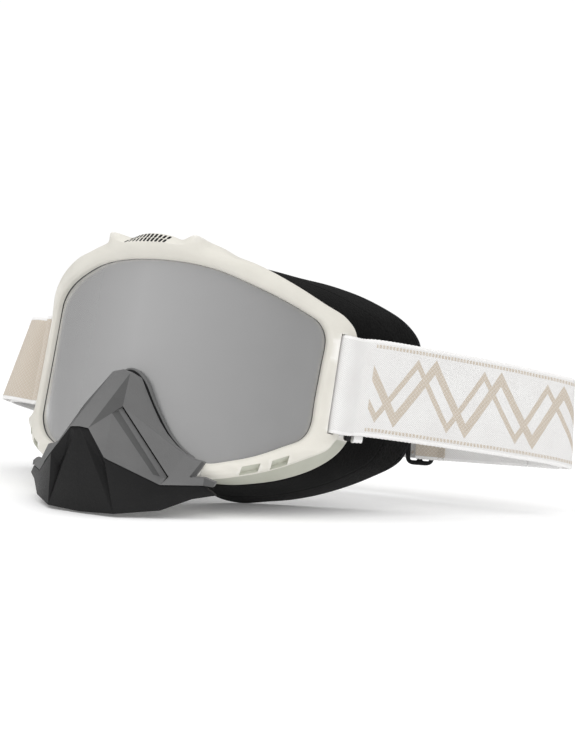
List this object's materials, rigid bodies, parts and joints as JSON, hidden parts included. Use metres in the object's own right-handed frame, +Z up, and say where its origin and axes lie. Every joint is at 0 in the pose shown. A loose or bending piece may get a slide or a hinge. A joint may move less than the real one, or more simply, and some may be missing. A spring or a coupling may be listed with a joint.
{
  "type": "motorcycle goggles",
  "caption": "Off-road goggles with a mirrored double lens, face foam, a press-in nose guard and an adjustable elastic strap.",
  "frame": {"origin": "middle of the face opening, between the wearer's eyes, where the foam meets the face", "axes": "+X to the side where the strap folds, across the face; +Y back towards the wearer's head; +Z up as the goggles rest on a table"},
  "size_m": [0.3012, 0.2201, 0.1287],
  "materials": {
    "frame_shell": "moulded, satin, off-white",
    "mirror_lens": "silver mirror coating on polycarbonate",
    "clear_lens": "clear anti-fog pane",
    "seal_foam": "closed-cell seal",
    "vent_foam": "open-cell filter foam",
    "face_foam": "open-cell face foam",
    "fleece": "brushed fleece",
    "plate_plastic": "fine-textured grey plastic",
    "deflector_plastic": "fine-textured black plastic",
    "black_plastic": "moulded black plastic",
    "strap_webbing": "woven elastic, white with a beige line pattern"
  },
  "bodies": {
    "goggle": {"frame": "frame_shell", "lens_outer": "mirror_lens", "lens_inner": "clear_lens", "lens_seal": "seal_foam", "top_vent_foam": "vent_foam", "lower_vent_foam_right": "vent_foam", "lower_vent_foam_left": "vent_foam", "face_foam_firm": "face_foam", "face_foam_soft": "face_foam", "face_fleece": "fleece", "strap_post_right": "black_plastic", "strap_post_left": "black_plastic", "strap_band": "strap_webbing", "strap_return_right": "strap_webbing", "strap_return_left": "strap_webbing"},
    "nose_guard": {"nose_plate": "plate_plastic", "nose_deflector": "deflector_plastic", "nose_pegs": "plate_plastic"},
    "right_slider": {"slider_right": "black_plastic", "strap_end_right": "strap_webbing"},
    "left_slider": {"slider_left": "black_plastic", "strap_end_left": "strap_webbing"}
  },
  "joints": [
    {"name": "nose_guard_release", "type": "slide", "parent": "goggle", "child": "nose_guard", "axis": [0, -1, 0], "range_m": [0, 0.03]},
    {"name": "right_slider_adjust", "type": "slide", "parent": "goggle", "child": "right_slider", "axis": [-0.994, -0.1065, -0.0231], "range_m": [-0.02, 0.03]},
    {"name": "left_slider_adjust", "type": "slide", "parent": "goggle", "child": "left_slider", "axis": [0.994, 0.1065, 0.0231], "range_m": [-0.015, 0.03]}
  ]
}
